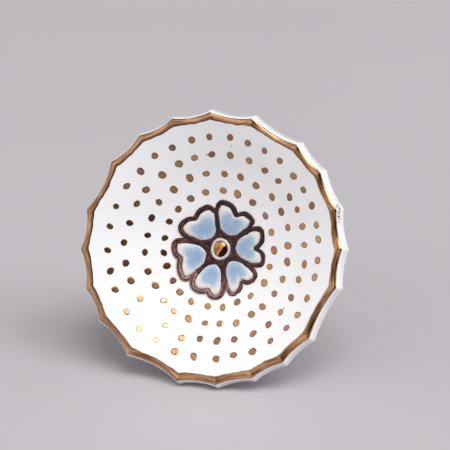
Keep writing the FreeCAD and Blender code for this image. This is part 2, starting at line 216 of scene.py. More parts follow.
class Rim:
    """The section through the rim at one angle: the wall, the rounded lip and the outer wall."""

    def __init__(self, degrees):
        self.degrees = degrees
        crest = dish_height(RIM_RADIUS)
        radius = RIM_RADIUS
        for _ in range(3):
            radius = fluted_radius(degrees, crest - dish_height(radius))
        wobble = RIM_WOBBLE * wave(*way(radius, math.radians(degrees)), 0, 6, 3)
        self.radius = radius
        self.corner = Vector((radius, dish_height(radius) + wobble))
        self.inward = Vector((-math.cos(WALL_ANGLE), -math.sin(WALL_ANGLE)))
        lower = fluted_radius(degrees, crest - dish_height(radius) + WALL_PROBE)
        self.outward = Vector((lower - radius, -WALL_PROBE)).normalized()

        towards_cusp = min(max((radius - LIP_TROUGH) / (RIM_RADIUS - LIP_TROUGH), 0.0), 1.0)
        self.inner = self.corner + self.inward * (LIP_WIDTH + LIP_CUSP_EXTRA * towards_cusp)
        self.outer = self.corner + self.outward * LIP_OUTER_RUN
        self.bevel = (self.outer - self.inner).length

    def sharp_point(self, s):
        """Point on the section with its edges left sharp: the wall, the bevelled lip, the outer wall.
        s is the way along it in millimetres from the outer edge of the lip."""
        if s < -self.bevel:
            return self.inner + self.inward * (-s - self.bevel)
        if s < 0:
            return self.outer.lerp(self.inner, -s / self.bevel)
        return self.outer + self.outward * s

    def point(self, s):
        """Point and outward normal of the rounded section."""
        crest = blend_step(-self.bevel + 0.2, -0.5, s)
        reach = LIP_CREASE_ROUNDING + (LIP_CREST_ROUNDING - LIP_CREASE_ROUNDING) * crest
        near = [self.sharp_point(s + reach * k / 3) for k in range(-3, 4)]
        along = (near[-1] - near[0]).normalized()
        at = sum(near, Vector((0, 0))) / len(near)
        return at, Vector((-along.y, along.x))


RIMS = [Rim(i * 360 / COLUMNS) for i in range(COLUMNS)]

OUTER_WALL_END = 2.35
LOWER_EDGE_RUN = 0.45
LIP_APPROACH = 0.5
NECK_ROUNDING = 9.0
UNDERSIDE_HOLLOWING = 0.35
FLOOR_ROWS = 26
WALL_ROWS = 14
OUTER_WALL_ROWS = 4
LOWER_EDGE_ROWS = 6
UNDERSIDE_ROWS = 16


def glaze_lift(x, y, z):
    """How far the glaze swells above the true shape."""
    return 0.030 * wave(x, y, z, 7.0, 1) + 0.012 * wave(x, y, z, 2.6, 5)


def lip_stations(rim):
    """Distances along the section at which to place its points, closest at the two edges of the lip."""
    inner = [-rim.bevel + step for step in (-0.3, -0.15, -0.05, 0.05, 0.15, 0.3)]
    middle = [-rim.bevel * share for share in (0.62, 0.5, 0.38)]
    return inner + middle + [-0.45, -0.32, -0.2, -0.08, 0.04, 0.16, 0.28, 0.42, 0.6]


def bowl_points(rim):
    """The section from beside the middle of the dish floor out to where the lip begins."""
    points = []
    for i in range(1, FLOOR_ROWS + 1):
        radius = WALL_START * i / FLOOR_ROWS
        points.append(Vector((radius, dish_height(radius))))
    wall_end = points[-1]
    lip_start, _ = rim.point(-rim.bevel - LIP_APPROACH)
    points += [wall_end.lerp(lip_start, i / WALL_ROWS) for i in range(1, WALL_ROWS + 1)]
    return points


def corner_curve(start, corner, end, u):
    """Point a share u of the way round a corner that is rounded off from start to end."""
    return start * (1 - u) ** 2 + corner * 2 * u * (1 - u) + end * u**2


def outer_wall_points(start, edge_start, corner, edge_end):
    """The section down the outer wall and round its lower edge."""
    points = [start.lerp(edge_start, i / OUTER_WALL_ROWS) for i in range(1, OUTER_WALL_ROWS + 1)]
    for i in range(1, LOWER_EDGE_ROWS):
        points.append(corner_curve(edge_start, corner, edge_end, i / LOWER_EDGE_ROWS))
    return points


def underside_points(rim, start, end):
    """The section of the underside, which the flutes hollow less and less towards the neck."""
    points = []
    valley = (RIM_RADIUS - rim.radius) * UNDERSIDE_HOLLOWING
    for i in range(UNDERSIDE_ROWS + 1):
        u = i / UNDERSIDE_ROWS
        hollow = valley * math.sin(math.pi * u) * (1 - u)
        points.append(start.lerp(end, u) + Vector((0, hollow)))
    return points


def body_section(rim):
    """Radius and height along the whole section of the porcelain, from the dish floor round the
    lip and the neck to the bottom of the socket."""
    section = bowl_points(rim)
    section += [rim.point(s)[0] for s in lip_stations(rim)]
    corner, _ = rim.point(OUTER_WALL_END)
    edge_start = corner - rim.outward * LOWER_EDGE_RUN
    edge_end = corner + rim.inward * LOWER_EDGE_RUN
    section += outer_wall_points(section[-1], edge_start, corner, edge_end)
    turn = Vector((UNDERSIDE_TURN, underside_height(UNDERSIDE_TURN)))
    section += underside_points(rim, edge_end, turn)
    neck = Vector((NECK_RADIUS, -NECK_START))
    base = Vector((NECK_BASE_RADIUS, -NECK_END))
    section += arc_points(turn, neck, NECK_ROUNDING, 12)
    section += arc_points(neck, base, NECK_ROUNDING, 10)
    section.append(Vector((SOCKET_RADIUS, -NECK_END)))
    section.append(Vector((SOCKET_RADIUS, -SOCKET_FLOOR)))
    return section


def underside_height(radius):
    """Height of the underside where it runs parallel to the wall, one thickness below it."""
    above = dish_height(WALL_START) + (radius - WALL_START) * WALL_SLOPE
    return above - THICKNESS / math.cos(WALL_ANGLE)


def arc_points(start, end, radius, count):
    """Points after start to end on an arc that bulges towards the axis."""
    chord = end - start
    half = chord.length / 2
    normal = Vector((chord.y, -chord.x)).normalized()
    away = math.sqrt(radius**2 - half**2)
    centre = (start + end) / 2 - normal * away
    a0 = math.atan2(start.y - centre.y, start.x - centre.x)
    a1 = math.atan2(end.y - centre.y, end.x - centre.x)
    turn = (a1 - a0 + math.pi) % (2 * math.pi) - math.pi
    return [centre + Vector(way(radius, a0 + turn * i / count)) for i in range(1, count + 1)]


# Making a piece


def add_object(name, data):
    made = bpy.data.objects.new(name, data)
    bpy.context.scene.collection.objects.link(made)
    return made


def add_piece(name, points, faces, material, slot, replaces=(), body="knob", smooth=True, **stored):
    """A mesh that rides on a body of the knob and stands for the CAD pieces it replaces. stored is
    what each vertex keeps for the material to read."""
    mesh = bpy.data.meshes.new(name)
    mesh.from_pydata([tuple(p) for p in points], [], faces)
    mesh.validate()
    piece = add_object(name, mesh)
    mesh.materials.append(material)
    mesh.polygons.foreach_set("use_smooth", [smooth] * len(mesh.polygons))
    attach(piece, body)
    if replaces:
        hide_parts(*replaces)
    for key, values in stored.items():
        attribute(piece, key, values)
    return piece


def attribute(piece, name, values):
    """Store one number for each vertex, or three, for the material to read."""
    if isinstance(values[0], tuple):
        layer = piece.data.attributes.new(name, "FLOAT_VECTOR", "POINT")
        layer.data.foreach_set("vector", [number for triple in values for number in triple])
    else:
        layer = piece.data.attributes.new(name, "FLOAT", "POINT")
        layer.data.foreach_set("value", values)


def ring_faces(rows, columns, first=0, closed=False):
    """Quads between rows of vertices that each go round the axis. closed joins the last row to the
    first."""
    faces = []
    for row in range(rows if closed else rows - 1):
        for column in range(columns):
            after = (column + 1) % columns
            a = first + row * columns
            b = first + (row + 1) % rows * columns
            faces.append((a + column, a + after, b + after, b + column))
    return faces


def turned_over(faces):
    """The same faces looking the other way."""
    return [tuple(reversed(face)) for face in faces]


def fan_faces(centre, row_start, columns):
    """Triangles from one vertex to a row that goes round it."""
    return [(centre, row_start + i, row_start + (i + 1) % columns) for i in range(columns)]


def capped(points, rows, columns, start, end):
    """Faces of rows that go round the axis, with a point added on the axis to close each end."""
    points += [polar(0, 0, start), polar(0, 0, end)]
    faces = turned_over(ring_faces(rows, columns))
    faces += fan_faces(len(points) - 2, 0, columns)
    return faces + turned_over(fan_faces(len(points) - 1, (rows - 1) * columns, columns))


def grid(rows, columns, at):
    """Points in rows that go round the axis. at gives the radius and height of one from its row and
    its angle in degrees."""
    points = []
    for row in range(rows):
        for column in range(columns):
            degrees = column * 360 / columns
            radius, height = at(row, degrees)
            points.append(polar(radius, degrees, height))
    return points


def add_ring(name, rows, columns, at, material, slot, replaces, **settings):
    """A piece of rows that go round the axis, the last of them joined back to the first."""
    faces = ring_faces(rows, columns, closed=True)
    return add_piece(name, grid(rows, columns, at), faces, material, slot, replaces, **settings)


def lathe(name, profile, columns, *settings, **more):
    """A closed ring turned from a profile of (radius, height) that runs round anticlockwise."""
    return add_ring(name, len(profile), columns, lambda row, degrees: profile[row], *settings, **more)


def rounded(profile, radius, steps=4):
    """The closed profile with each corner rounded off."""
    result = []
    count = len(profile)
    corners = [Vector(p) for p in profile]
    for i, corner in enumerate(corners):
        before = corners[i - 1] - corner
        after = corners[(i + 1) % count] - corner
        run = min(radius, before.length * 0.45, after.length * 0.45)
        start = corner + before.normalized() * run
        end = corner + after.normalized() * run
        for k in range(steps + 1):
            result.append(tuple(corner_curve(start, corner, end, k / steps)))
    return result


# Materials


class Tree:
    """Short ways to build nodes, for a material or the world."""

    def __init__(self, tree):
        self.tree = tree

    def add(self, kind, **settings):
        node = self.tree.nodes.new(kind)
        for key, value in settings.items():
            setattr(node, key, value)
        return node

    def link(self, source, target):
        self.tree.links.new(source, target)

    def put(self, socket, value):
        """Set a socket to a number or colour, or link it to what another node gives."""
        if isinstance(value, (int, float)):
            socket.default_value = value
        elif isinstance(value, tuple):
            socket.default_value = (*value, 1)[:len(socket.default_value)]
        else:
            self.link(value, socket)

    def fill(self, node, **values):
        for key, value in values.items():
            self.put(node.inputs[key.replace("_", " ")], value)

    def ramp(self, source, stops, interpolation="LINEAR"):
        node = self.add("ShaderNodeValToRGB")
        node.color_ramp.interpolation = interpolation
        ramp = node.color_ramp.elements
        while len(ramp) < len(stops):
            ramp.new(0.5)
        for element, (position, colour) in zip(ramp, stops):
            element.position = position
            element.color = (*colour, 1)
        self.fill(node, Fac=source)
        return node.outputs["Color"]

    def mix(self, factor, a, b, blend="MIX"):
        node = self.add("ShaderNodeMix", data_type="RGBA", blend_type=blend)
        sockets = [s for s in node.inputs if s.enabled]
        for socket, value in zip(sockets, (factor, a, b)):
            self.put(socket, value)
        return next(o for o in node.outputs if o.enabled)


class Nodes(Tree):
    """The nodes of one material."""

    def __init__(self, name):
        self.material = bpy.data.materials.new(name)
        self.material.use_nodes = True
        super().__init__(self.material.node_tree)
        self.shader = self.tree.nodes["Principled BSDF"]

    def set(self, **values):
        self.fill(self.shader, **values)

    def attribute(self, name, output="Fac"):
        return self.add("ShaderNodeAttribute", attribute_name=name).outputs[output]

    def noise(self, scale, detail=3.0, roughness=0.5, vector=None, distortion=0.0):
        node = self.add("ShaderNodeTexNoise")
        where = vector or self.add("ShaderNodeTexCoord").outputs["Object"]
        self.fill(node, Scale=scale, Detail=detail, Roughness=roughness, Distortion=distortion, Vector=where)
        return node.outputs["Fac"]

    def grey_ramp(self, source, low, high, start, end):
        return self.ramp(source, [(start, (low,) * 3), (end, (high,) * 3)])

    def math(self, operation, a, b):
        node = self.add("ShaderNodeMath", operation=operation)
        for socket, value in zip(node.inputs, (a, b)):
            self.put(socket, value)
        return node.outputs["Value"]

    def bump(self, height, strength, distance):
        node = self.add("ShaderNodeBump")
        self.fill(node, Strength=strength, Distance=distance, Height=height)
        self.set(Normal=node.outputs["Normal"])

    def colour(self, source):
        self.set(Base_Color=source)

    def roughness(self, source, low, high, start=0.3, end=0.7):
        self.set(Roughness=self.grey_ramp(source, low, high, start, end))


def porcelain_material():
    n = Nodes("glazed_porcelain")
    cloud = n.noise(160, 4)
    n.colour(n.ramp(cloud, [(0.3, (0.870, 0.870, 0.895)), (0.7, (0.91, 0.91, 0.925))]))
    n.roughness(n.noise(420, 3), 0.13, 0.20, 0.35, 0.65)
    n.set(IOR=1.52, Coat_Weight=0.5, Coat_Roughness=0.06)
    n.set(Subsurface_Weight=0.12, Subsurface_Scale=0.0012, Subsurface_Radius=(1.0, 0.9, 0.8))
    n.bump(n.noise(900, 2), 0.10, 0.00003)
    return n.material


GOLD_LIGHT = (0.66, 0.37, 0.18)
GOLD_MIDDLE = (0.41, 0.190, 0.078)
GOLD_DEEP = (0.20, 0.075, 0.032)


def gilt_band_material():
    """Hand-laid gilding: brush streaks along the band, brown edges with painted shade inward, worn marks."""
    n = Nodes("gilding_band")
    streaks = n.noise(1.0, 5, 0.6, n.attribute("brush", "Vector"), 0.3)
    gold = n.ramp(streaks, [(0.39, GOLD_DEEP), (0.49, GOLD_MIDDLE), (0.60, GOLD_LIGHT)])
    # edge: the band's thin brown edges and the painted shade spread in from its inner edge
    edge_and_shade = n.math("MULTIPLY", n.attribute("edge"), n.math("ADD", n.noise(1800, 3), 0.55))
    gold = n.mix(edge_and_shade, gold, (0.10, 0.035, 0.018))
    wear_and_shade = n.grey_ramp(n.math("ADD", n.attribute("wear"), n.noise(1500, 3)), 0, 1, 0.93, 1.02)
    n.colour(n.mix(wear_and_shade, gold, (0.10, 0.075, 0.075)))
    n.set(Metallic=n.math("SUBTRACT", 1.0, n.math("MULTIPLY", wear_and_shade, 0.85)))
    n.roughness(streaks, 0.18, 0.34)
    n.set(Coat_Weight=0.7, Coat_Roughness=0.12, Coat_IOR=1.6)
    n.bump(streaks, 0.6, 0.00007)
    return n.material


def gilt_spot_material():
    n = Nodes("gilding_spots")
    tone = n.attribute("tone")
    colours = [
        (0.0, (0.32, 0.18, 0.13)), (0.35, (0.46, 0.235, 0.115)),
        (0.65, (0.44, 0.27, 0.13)), (1.0, (0.62, 0.36, 0.19)),
    ]
    gold = n.ramp(tone, colours)
    grain = n.noise(2600, 3)
    rim = n.math("MULTIPLY", n.math("ADD", n.attribute("edge"), n.math("SUBTRACT", grain, 0.5)), 0.75)
    n.colour(n.mix(rim, gold, (0.16, 0.075, 0.04)))
    n.set(Metallic=0.96)
    n.roughness(grain, 0.14, 0.26)
    n.bump(grain, 0.15, 0.00002)
    return n.material


def dark_line_material():
    """Raised enamel line: aubergine brown, streaky along the brush, glossy."""
    n = Nodes("dark_enamel")
    streaks = n.noise(1.0, 4, 0.6, n.attribute("brush", "Vector"), 0.4)
    # pale: lighter at the thin edges of each stroke, and a painted highlight towards the lower left
    amount = n.math("ADD", n.math("MULTIPLY", n.attribute("pale"), 0.45), streaks)
    colours = [
        (0.38, (0.010, 0.003, 0.004)), (0.52, (0.032, 0.010, 0.011)),
        (0.70, (0.150, 0.055, 0.048)), (1.00, (0.480, 0.330, 0.300)),
    ]
    n.colour(n.ramp(amount, colours))
    n.roughness(streaks, 0.22, 0.40)
    n.set(Specular_IOR_Level=0.22)
    n.bump(streaks, 0.5, 0.00008)
    return n.material


def petal_material():
    """Blue enamel, deepest where it pooled, thinning to the white ground at its edges."""
    n = Nodes("blue_enamel")
    fade = n.attribute("fade")
    cloud = n.noise(700, 4, 0.55)
    amount = n.math("ADD", fade, n.math("MULTIPLY", n.math("SUBTRACT", cloud, 0.5), 0.55))
    colours = [
        (0.00, (0.265, 0.380, 0.560)), (0.35, (0.340, 0.450, 0.610)),
        (0.65, (0.540, 0.600, 0.680)), (0.95, (0.740, 0.725, 0.715)),
    ]
    n.colour(n.ramp(amount, colours, "EASE"))
    n.roughness(cloud, 0.20, 0.32)
    n.set(IOR=1.45, Coat_Weight=0.15, Coat_Roughness=0.12)
    n.bump(n.noise(1400, 2), 0.2, 0.00005)
    return n.material


def mottled(name, cloud_settings, dark, light, smoothest, roughest, bump=None, stops=(0.3, 0.7)):
    """Nodes of a material whose colour and roughness vary in one and the same soft mottling."""
    n = Nodes(name)
    cloud = n.noise(*cloud_settings)
    n.colour(n.ramp(cloud, list(zip(stops, (dark, light)))))
    n.roughness(cloud, smoothest, roughest)
    if bump:
        n.bump(cloud, *bump)
    return n


def white_enamel_material():
    dark, light = (0.50, 0.47, 0.48), (0.70, 0.68, 0.69)
    n = mottled("white_enamel", (1100, 4), dark, light, 0.16, 0.28, (0.2, 0.00005))
    n.set(IOR=1.5, Coat_Weight=0.4, Coat_Roughness=0.08)
    return n.material


def bead_material():
    n = Nodes("gilding_bead")
    cloud = n.noise(900, 4, 0.6)
    gold = n.ramp(cloud, [(0.40, (0.24, 0.10, 0.03)), (0.60, (0.66, 0.36, 0.12))])
    # Painted shade: the bead's gold darkens towards its lower right side
    wear_and_shade = n.grey_ramp(n.math("ADD", n.attribute("shade"), cloud), 0, 1, 0.80, 1.10)
    n.colour(n.mix(wear_and_shade, gold, (0.045, 0.016, 0.010)))
    n.set(Metallic=1.0)
    n.roughness(cloud, 0.26, 0.42)
    n.bump(cloud, 0.4, 0.0001)
    return n.material


def turned_metal(name, dark, light, low, high, rings):
    """Metal with fine turning marks about the knob's axis, and a little tarnish."""
    n = Nodes(name)
    cloud = n.noise(260, 5, 0.6)
    n.colour(n.ramp(cloud, [(0.35, dark), (0.65, light)]))
    n.set(Metallic=1.0)
    n.roughness(n.noise(900, 4), low, high)
    marks = n.noise(1.0, 2, 0.5, n.attribute("turning", "Vector"))
    n.bump(marks, rings, 0.00003)
    return n.material


def cement_material(node):
    """Give the CAD's own cement its looks, as it has no piece to stand for it."""
    dark, light = (0.36, 0.33, 0.29), (0.56, 0.53, 0.48)
    n = mottled("set_cement", (1300, 6, 0.65), dark, light, 0.8, 0.95, (0.6, 0.0001))
    node.data.materials.clear()
    node.data.materials.append(n.material)


# Porcelain


# How far above the end of the neck the glaze stops
GLAZE_STOP = 1.0
SOCKET_ROWS = 2


def make_porcelain():
    """The dish, neck and socket in one. Its glaze swells a little, save on the bare foot and socket."""
    sections = [body_section(rim) for rim in RIMS]
    rows = len(sections[0])
    points = []
    for row in range(rows):
        for column, section in enumerate(sections):
            radius, height = section[row]
            x, y = way(radius, math.radians(column * 360 / COLUMNS))
            bare = height < -NECK_END + GLAZE_STOP or row >= rows - SOCKET_ROWS
            lift = 0.0 if bare else glaze_lift(x, y, height)
            points.append(place(x, y, height + lift))
    faces = capped(points, rows, COLUMNS, glaze_lift(0, 0, 0), -SOCKET_FLOOR)
    add_piece("porcelain_body", points, faces, porcelain_material(), "porcelain", ("porcelain_rosette",))


# Small grey marks that the kiln left in the glaze: radius and angle of each, and its size
SPECKS = ((19.1, 85, 0.22), (16.3, 88, 0.13), (11.8, 49, 0.17), (13.5, 229, 0.24), (22.6, 268, 0.12))
SPECK_RISE = 0.018


def make_specks():
    rng = random.Random(11)
    points, faces = [], []
    for radius, degrees, size in SPECKS:
        width = size * rng.uniform(0.6, 0.9)
        tilt = rng.uniform(0, 180)
        add_blob(points, faces, radius, degrees, size, width, tilt, SPECK_RISE, rng, count=10, rings=2)
    grey = mottled("kiln_specks", (4000, 2), (0.30, 0.33, 0.38), (0.48, 0.51, 0.56), 0.2, 0.35)
    add_piece("kiln_specks", points, faces, grey.material, "porcelain")


def on_dish(x, y, lift):
    """The point this far above the dish's skin, square to it."""
    radius = math.hypot(x, y)
    slope = dish_slope(radius)
    length = math.sqrt(1 + slope**2)
    shift = lift * slope / length
    scale = (radius - shift) / radius if radius > 1e-6 else 1.0
    height = dish_height(radius) + lift / length
    return place(x * scale, y * scale, height + glaze_lift(x, y, dish_height(radius)))


def add_blob(points, faces, radius, degrees, half_length, half_width, tilt, rise, rng, count, rings):
    """A domed spot of irregular outline lying on the dish. Returns how far each of its vertices is
    from its middle, as a share of the way to its edge."""
    turn = math.radians(degrees)
    stretch = math.sqrt(1 + dish_slope(radius) ** 2)
    lean = math.radians(tilt)
    bumps = [(k, rng.uniform(0, 0.10 / k), rng.uniform(0, 2 * math.pi)) for k in (2, 3, 4, 5)]
    first = len(points)
    shares = [0.0]
    cx, cy = way(radius, turn)
    points.append(on_dish(cx, cy, rise))
    for ring in range(1, rings + 1):
        share = ring / rings
        lift = rise * (1 - blend_step(0.80, 1.0, share) * 1.3)
        for i in range(count):
            a = 2 * math.pi * i / count
            swell = 1 + sum(size * math.cos(k * a + phase) for k, size, phase in bumps)
            u = share * half_length * swell * math.cos(a)
            v = share * half_width * swell * math.sin(a)
            along = u * math.cos(lean) - v * math.sin(lean)
            across = u * math.sin(lean) + v * math.cos(lean)
            out = along / stretch
            x = cx + out * math.cos(turn) - across * math.sin(turn)
            y = cy + out * math.sin(turn) + across * math.cos(turn)
            points.append(on_dish(x, y, lift))
            shares.append(share)
    faces += fan_faces(first, first + 1, count)
    faces += turned_over(ring_faces(rings, count, first + 1))
    return shares


# By ring and count round it: the spot worn down to a sliver, and those that the brush left with a tail
WORN_SPOT = (3, 18)
BRUSH_TAILS = ((3, 7), (3, 26))
SLIVER_LENGTH = 0.55
SLIVER_WIDTH = 0.17
TAIL_START = 1.15
TAIL_LENGTH = 0.52
TAIL_WIDTH = 0.13
TAIL_RISE = 0.022
SPOT_RISE = 0.040


def add_spot(points, faces, rng, radius, degrees, wear_and_shade, tailed):
    """One gilt spot. Returns how far each of its vertices is from its middle, as add_blob does."""
    size = SPOT_RADIUS * rng.uniform(0.90, 1.10)
    length = size * rng.uniform(0.98, 1.16)
    width = size * rng.uniform(0.88, 1.0)
    if wear_and_shade:
        length, width = SLIVER_LENGTH, SLIVER_WIDTH
    tilt = rng.uniform(0, 180)
    shares = add_blob(points, faces, radius, degrees, length, width, tilt, SPOT_RISE, rng, count=28, rings=8)
    if tailed:
        tail = degrees + math.degrees(TAIL_START * size / radius)
        shares += add_blob(points, faces, radius, tail, TAIL_LENGTH, TAIL_WIDTH, 90, TAIL_RISE, rng,
                           count=14, rings=3)
    return shares


def make_gilt_spots():
    material = gilt_spot_material()
    for number, (count, share, first, drift, drift_start) in enumerate(SPOT_RINGS, start=1):
        rng = random.Random(100 + number)
        points, faces, edges, tones = [], [], [], []
        for i in range(count):
            even = first + i * 360 / count
            degrees = even + drift * math.sin(math.radians(even - drift_start)) + rng.gauss(0, 0.7)
            radius = RIM_RADIUS * share + rng.gauss(0, 0.16)
            wear_and_shade = (number, i) == WORN_SPOT
            tailed = (number, i) in BRUSH_TAILS
            shares = add_spot(points, faces, rng, radius, degrees, wear_and_shade, tailed)
            edges += [blend_step(0.55, 1.0, s) for s in shares]
            tones += [rng.uniform(0.0, 1.0)] * len(shares)
        add_piece(f"gilt_spots_{number}", points, faces, material, "gilding",
                  (f"gilt_spots_ring_{number}",), edge=edges, tone=tones)


# Chipped marks on the crest beside one cusp: degrees from it, millimetres past the crest, size
CHIP_ANGLE = 21.5
CHIP_RISE = 0.02
CHIP_CORNERS = 12
CHIPS = (
    (-5.2, 0.34, 0.20), (-4.0, 0.60, 0.22), (-3.0, 0.36, 0.30), (-2.1, 0.66, 0.24),
    (-1.2, 0.38, 0.30), (-0.2, 0.60, 0.26), (0.8, 0.34, 0.24), (1.6, 0.55, 0.18),
)


def make_chips():
    rng = random.Random(23)
    points, faces = [], []
    for turn, s, size in CHIPS:
        rim = Rim(CHIP_ANGLE + turn)
        at, normal = rim.point(s)
        along = Vector((-normal.y, normal.x))
        first = len(points)
        middle = at + normal * CHIP_RISE
        points.append(polar(middle.x, rim.degrees, middle.y))
        for i in range(CHIP_CORNERS):
            a = 2 * math.pi * i / CHIP_CORNERS
            reach = size * rng.uniform(0.6, 1.3)
            edge = at + along * reach * math.sin(a) * 1.3 - normal * 0.015
            sideways = math.degrees(reach * math.cos(a) / edge.x)
            points.append(polar(edge.x, rim.degrees + sideways, edge.y))
        faces += fan_faces(first, first + 1, CHIP_CORNERS)
    dark, light = (0.06, 0.05, 0.08), (0.32, 0.28, 0.33)
    n = mottled("rim_chips", (5000, 3), dark, light, 0.5, 0.8, stops=(0.35, 0.6))
    add_piece("rim_chips", points, faces, n.material, "porcelain")


BAND_ROWS = 25
# How long the brush's streaks are round the band and how fine across it, and the same of its ripples
STREAK_REACH = 6.0
STREAK_FINENESS = 3.4
RIPPLE_REACH = 6.9
RIPPLE_FINENESS = 2.2
BAND_RISE = 0.045
BAND_TUCK = 0.012


def band_limits(rim):
    """How far the gilding reaches in from the outer edge of the lip, and how far out past it."""
    turn = math.radians(rim.degrees)
    x, y = way(RIM_RADIUS, turn)
    inner = rim.bevel + 0.14 + 0.16 * wave(x, y, 0, 1.6, 7) + 0.10 * wave(x, y, 0, 5, 9)
    outer = -0.02 - 0.17 * math.cos(turn - 0.8)
    outer += 0.05 * wave(x, y, 0, 1.3, 11) + 0.08 * wave(x, y, 0, 6, 13)
    return inner, outer


def band_lift(turn, s, side):
    """Height of the gilding above the lip. side is 0 along its middle and 1 at its two edges."""
    lift = BAND_RISE * (1 - side**6) - BAND_TUCK * side**6
    lift += 0.010 * wave(*way(RIM_RADIUS, turn), s, 1.1, 17)
    return lift + 0.016 * wave(*way(RIPPLE_REACH, turn), s * RIPPLE_FINENESS, 1.0, 19)


def band_edge_and_shade(turn, share):
    """Gilding's darkness: thin brown edges, the inner one widened by painted shade, most at the left."""
    side = abs(2 * share - 1)
    if share < 0.5:
        # Painted shade: broad at the inner edge, darkest towards the left of the band
        return (0.65 + 0.45 * math.cos(turn - 2.5)) * blend_step(-0.10, 0.80, side)
    return 0.4 * blend_step(0.78, 0.97, side)


def band_wear(rim, s):
    """How worn the gilding is: only beside the chipped cusp, and most outside the lip."""
    from_chip = abs((rim.degrees - CHIP_ANGLE + 180) % 360 - 180)
    return 0.42 * blend_step(6.0, 0.5, from_chip) * blend_step(-0.5, 0.4, s)


def make_gilt_band():
    """The gilding over the lip: a thin skin with hand-drawn edges and painted shade, worn at one cusp."""
    points, brush, edges, wear = [], [], [], []
    limits = [band_limits(rim) for rim in RIMS]
    for row in range(BAND_ROWS):
        share = row / (BAND_ROWS - 1)
        for rim, (inner, outer) in zip(RIMS, limits):
            turn = math.radians(rim.degrees)
            s = -inner + (inner + outer) * share
            at, normal = rim.point(s)
            at = at + normal * band_lift(turn, s, abs(2 * share - 1))
            x, y = way(at.x, turn)
            points.append(place(x, y, at.y + glaze_lift(x, y, at.y)))
            brush.append((*way(STREAK_REACH, turn), s * STREAK_FINENESS))
            edges.append(band_edge_and_shade(turn, share))
            wear.append(band_wear(rim, s))
    faces = turned_over(ring_faces(BAND_ROWS, COLUMNS))
    add_piece("gilt_band", points, faces, gilt_band_material(), "gilding", ("rim_gilding",),
              brush=brush, edge=edges, wear=wear)


# Flower


# Each petal as the brush left it: the angle it points at, the radius of its tip, then its notch and its
# two lobes as radius and degrees from that angle, and last how many degrees each flank spreads
PETALS = (
    (9, 2.8, (6.5, -3), (8.4, -19), (8.4, 17), -27, 25),
    (71, 2.9, (6.7, -2), (8.0, -23), (8.3, 21), -28, 28),
    (134, 2.6, (7.2, 2), (7.8, -20), (8.3, 21), -30, 29),
    (200, 2.8, (7.4, -1), (8.4, -20), (8.4, 22), -25, 26),
    (257, 2.9, (7.6, 3), (8.3, -15), (8.6, 15), -23, 21),
    (311, 2.8, (6.9, 0), (8.5, -17), (8.4, 16), -22, 22),
)
FLANK_START = 4.2
FLANK_END = 6.3
POOL_RADIUS = 5.3
OUTLINE_POINTS = 144
PETAL_RINGS = 12


def heart_outline(number):
    """Points round a petal, up its clockwise flank, over both lobes and back, and the middle of it."""
    angle, tip, notch, lobe_a, lobe_b, flank_a, flank_b = PETALS[number]
    stations = (
        (tip, 0), (FLANK_START, flank_a), (FLANK_END, flank_a), shoulder(lobe_a, flank_a), lobe_a,
        hollow(lobe_a, notch), notch, hollow(lobe_b, notch),
        lobe_b, shoulder(lobe_b, flank_b), (FLANK_END, flank_b), (FLANK_START, flank_b),
    )
    corners = [flat(radius, angle + turn) for radius, turn in stations]
    rng = random.Random(40 + number)
    bumps = [(k, rng.uniform(0.004, 0.014), rng.uniform(0, 6.28)) for k in (3, 5, 8)]
    outline = []
    share = OUTLINE_POINTS // len(corners)
    for i in range(len(corners)):
        p0, p1 = corners[i - 1], corners[i]
        p2, p3 = corners[(i + 1) % len(corners)], corners[(i + 2) % len(corners)]
        outline += [spline_point(p0, p1, p2, p3, k / share) for k in range(share)]
    middle = flat(POOL_RADIUS, angle)
    for i, at in enumerate(outline):
        turn = 2 * math.pi * i / len(outline)
        swell = sum(size * math.cos(k * turn + phase) for k, size, phase in bumps)
        outline[i] = at + (at - middle) * swell
    return outline, middle


def shoulder(lobe, flank):
    """Where a lobe rounds over into its flank, as radius and degrees."""
    return lobe[0] - 0.55, lobe[1] * 0.38 + flank * 0.62


def hollow(lobe, notch):
    """Where a lobe rounds over into the notch."""
    return lobe[0] * 0.78 + notch[0] * 0.22, lobe[1] * 0.48 + notch[1] * 0.52


def flat(radius, degrees):
    """A point of the flower seen from in front of the face."""
    return Vector(way(radius, math.radians(degrees)))


def spline_point(p0, p1, p2, p3, t):
    """Point between p1 and p2 on the smooth curve that passes through all four."""
    square = 2 * p0 - 5 * p1 + 4 * p2 - p3
    cube = 3 * p1 - p0 - 3 * p2 + p3
    return 0.5 * (2 * p1 + (p2 - p0) * t + square * t**2 + cube * t**3)


def smoothed(outline, passes):
    """The closed outline with its kinks eased."""
    for _ in range(passes):
        count = len(outline)
        beside = [outline[i - 1] + outline[(i + 1) % count] for i in range(count)]
        outline = [at * 0.5 + pair * 0.25 for at, pair in zip(outline, beside)]
    return outline


def petal_lift(p, share):
    """Height of a petal's enamel: domed where it pooled and thin at its edge."""
    lift = 0.20 + 0.20 * (1 - share**3) - 0.18 * blend_step(0.88, 1.0, share)
    return lift + 0.02 * wave(p.x, p.y, 0, 1.3, 21)


def petal_fade(p, share, seed):
    """How thin the blue is: towards the petal's edge, and towards its outer end."""
    margin = blend_step(0.25, 1.05, share)
    outwards = blend_step(4.2, 9.0, p.length + 0.7 * wave(p.x, p.y, 0, 1.9, seed))
    return 0.62 * outwards + 0.66 * margin


